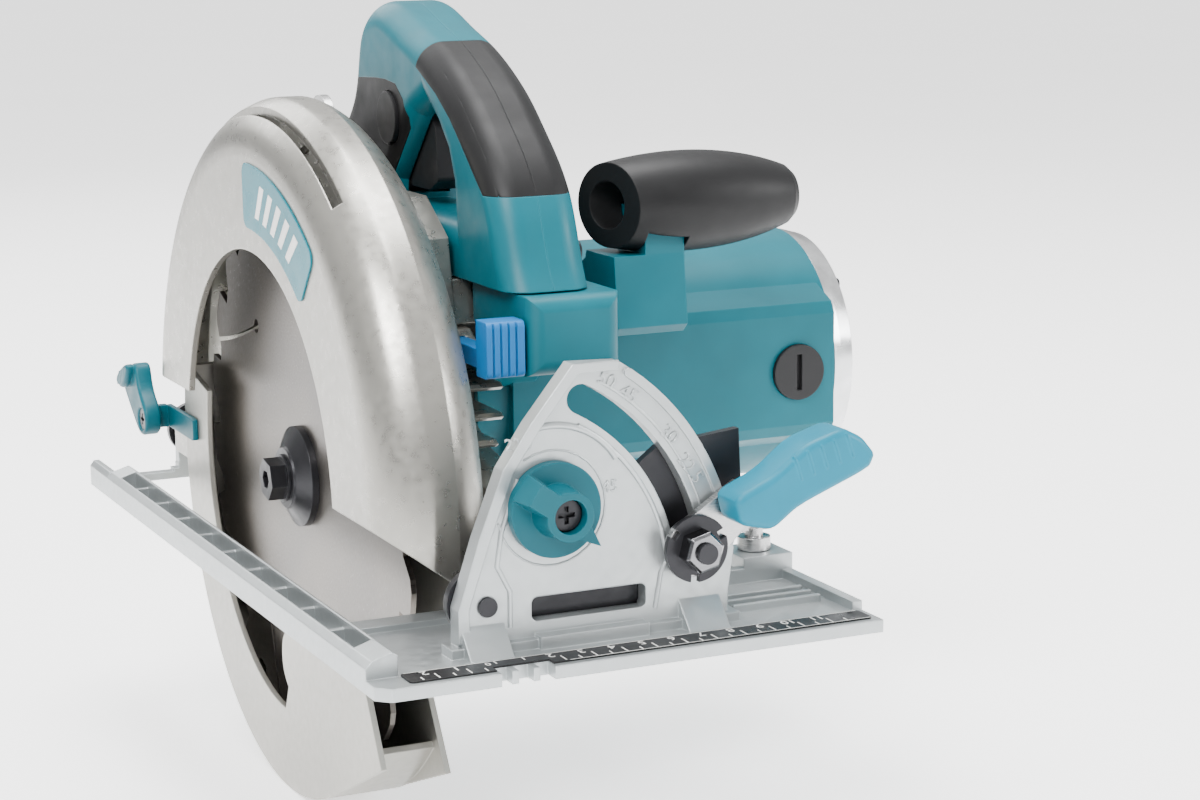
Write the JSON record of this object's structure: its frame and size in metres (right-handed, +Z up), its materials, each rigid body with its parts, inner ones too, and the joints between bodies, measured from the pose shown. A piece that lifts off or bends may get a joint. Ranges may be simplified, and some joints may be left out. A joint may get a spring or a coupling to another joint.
{
  "type": "circular saw",
  "caption": "Hand-held electric circular saw with tilting base, swinging lower blade guard, side motor, D handle and front grip.",
  "frame": {"origin": "on the sole plane, below the spindle, in the middle plane of the blade", "axes": "+X from the blade to the motor, -Y in the cutting direction, +Z up"},
  "size_m": [0.2412, 0.3325, 0.2729],
  "materials": {
    "base_metal": "cast, satin silver",
    "ruler_black": "black plate with white marks",
    "black_steel": "black oxide",
    "bright_steel": "zinc plated",
    "chrome": "bright plated",
    "knob_plastic": "dark teal nylon",
    "lever_plastic": "bright teal nylon",
    "guard_metal": "champagne metallic paint",
    "label_teal": null,
    "housing_plastic": "teal glass-filled nylon",
    "end_metal": "machined, bright",
    "core_steel": "laminated steel",
    "brass": "plain",
    "fan_plastic": "black moulded",
    "bearing_steel": "ground",
    "carbon": "carbon",
    "black_plastic": "moulded black",
    "blade_steel": "ground blade steel",
    "lower_metal": "cast, satin",
    "grip_rubber": "soft overmoulded grip",
    "lock_plastic": "blue nylon"
  },
  "bodies": {
    "base": {"base_plate": "base_metal", "ruler_plate": "ruler_black", "bevel_pins": "black_steel"},
    "fence_clamp": {"fence_clamp_screw": "bright_steel"},
    "stop_selector": {"stop_knob": "knob_plastic", "stop_knob_screw": "black_steel"},
    "bevel_carrier": {"front_bracket": "black_steel", "depth_pivot_pin": "black_steel", "depth_guide": "bright_steel", "rear_bracket": "black_steel", "guide_rivets": "bright_steel", "bevel_clamp_bolt": "black_steel"},
    "bevel_lever": {"bevel_lever_plate": "bright_steel", "bevel_washer": "black_steel", "bevel_nut": "chrome", "bevel_lever_grip": "lever_plastic"},
    "saw_body": {"blade_case": "guard_metal", "guard_label": "label_teal", "gear_cover": "guard_metal", "motor_housing": "housing_plastic", "end_cover": "end_metal", "stator": "core_steel", "armature_front_bearing": "bearing_steel", "armature_rear_bearing": "bearing_steel", "carbon_brushes": "carbon", "brush_holders": "brass", "brush_caps": "black_plastic", "blade_bearing": "bearing_steel", "spindle_inner_bearing": "bearing_steel", "bearing_retainer": "bright_steel", "guard_spring": "bright_steel", "depth_clamp_bolt": "bright_steel", "front_pad_left": "grip_rubber", "front_pad_right": "grip_rubber", "side_pads": "grip_rubber", "handle_left": "housing_plastic", "handle_right": "housing_plastic", "power_switch": "black_plastic", "cord_gland": "grip_rubber", "housing_screws": "black_steel", "front_grip_sleeve": "grip_rubber", "front_grip_core": "housing_plastic"},
    "armature": {"armature_shaft": "bright_steel", "armature_core": "core_steel", "commutator": "brass", "cooling_fan": "fan_plastic"},
    "blade_spindle": {"spindle": "bright_steel", "drive_gear": "bearing_steel", "inner_flange": "black_steel", "saw_blade": "blade_steel", "outer_flange": "black_steel", "blade_bolt": "black_steel"},
    "moving_guard": {"lower_guard": "lower_metal", "retract_lever": "knob_plastic", "retract_lever_screw": "black_steel"},
    "depth_clamp": {"depth_lever": "black_plastic"},
    "trigger": {"trigger": "black_plastic"},
    "lock_button": {"lock_button": "grip_rubber"},
    "shaft_lock": {"shaft_lock": "lock_plastic"}
  },
  "joints": [
    {"name": "bevel_tilt", "type": "hinge", "parent": "base", "child": "bevel_carrier", "pos_m": [0.0027, 0, 0.0181], "axis": [0, -1, 0], "range_deg": [0, 50]},
    {"name": "depth_swing", "type": "hinge", "parent": "bevel_carrier", "child": "saw_body", "pos_m": [0.037, -0.138, 0.022], "axis": [1, 0, 0], "range_deg": [0, 30]},
    {"name": "guard_swing", "type": "hinge", "parent": "saw_body", "child": "moving_guard", "pos_m": [0, 0, 0.0275], "axis": [1, 0, 0], "range_deg": [0, 115], "stiffness_Nm_per_rad": 0.25, "springref_deg": -68.75},
    {"name": "blade_spin", "type": "hinge", "parent": "saw_body", "child": "blade_spindle", "pos_m": [0, 0, 0.0275], "axis": [1, 0, 0], "continuous": true},
    {"name": "armature_spin", "type": "hinge", "parent": "saw_body", "child": "armature", "pos_m": [0.1, 0.0084, 0.0556], "axis": [1, 0, 0], "continuous": true},
    {"name": "bevel_clamp_turn", "type": "hinge", "parent": "bevel_carrier", "child": "bevel_lever", "pos_m": [0.06937, -0.16, 0.02956], "axis": [0, -1, 0], "range_deg": [0, 60]},
    {"name": "stop_select", "type": "hinge", "parent": "base", "child": "stop_selector", "pos_m": [0.024, -0.16, 0.046], "axis": [0, -1, 0], "range_deg": [0, 140]},
    {"name": "fence_clamp_turn", "type": "hinge", "parent": "base", "child": "fence_clamp", "pos_m": [0.117, -0.111, 0.015], "axis": [0, 0, 1], "continuous": true},
    {"name": "depth_clamp_turn", "type": "hinge", "parent": "saw_body", "child": "depth_clamp", "pos_m": [0.03, 0.08479, 0.03173], "axis": [1, 0, 0], "range_deg": [0, 45]},
    {"name": "trigger_pull", "type": "hinge", "parent": "saw_body", "child": "trigger", "pos_m": [0.05, -0.004, 0.152], "axis": [1, 0, 0], "range_deg": [0, 6], "stiffness_Nm_per_rad": 1, "springref_deg": -8.59},
    {"name": "lock_button_press", "type": "slide", "parent": "saw_body", "child": "lock_button", "axis": [1, 0, 0], "range_m": [0, 0.0015], "stiffness_N_per_m": 600, "springref_m": -0.002},
    {"name": "shaft_lock_press", "type": "slide", "parent": "saw_body", "child": "shaft_lock", "axis": [0, 1, 0], "range_m": [0, 0.004], "stiffness_N_per_m": 600, "springref_m": -0.002}
  ],
  "couplings": [
    {"joint": "armature_spin", "follows": "blade_spin", "ratio": -3.8182}
  ]
}
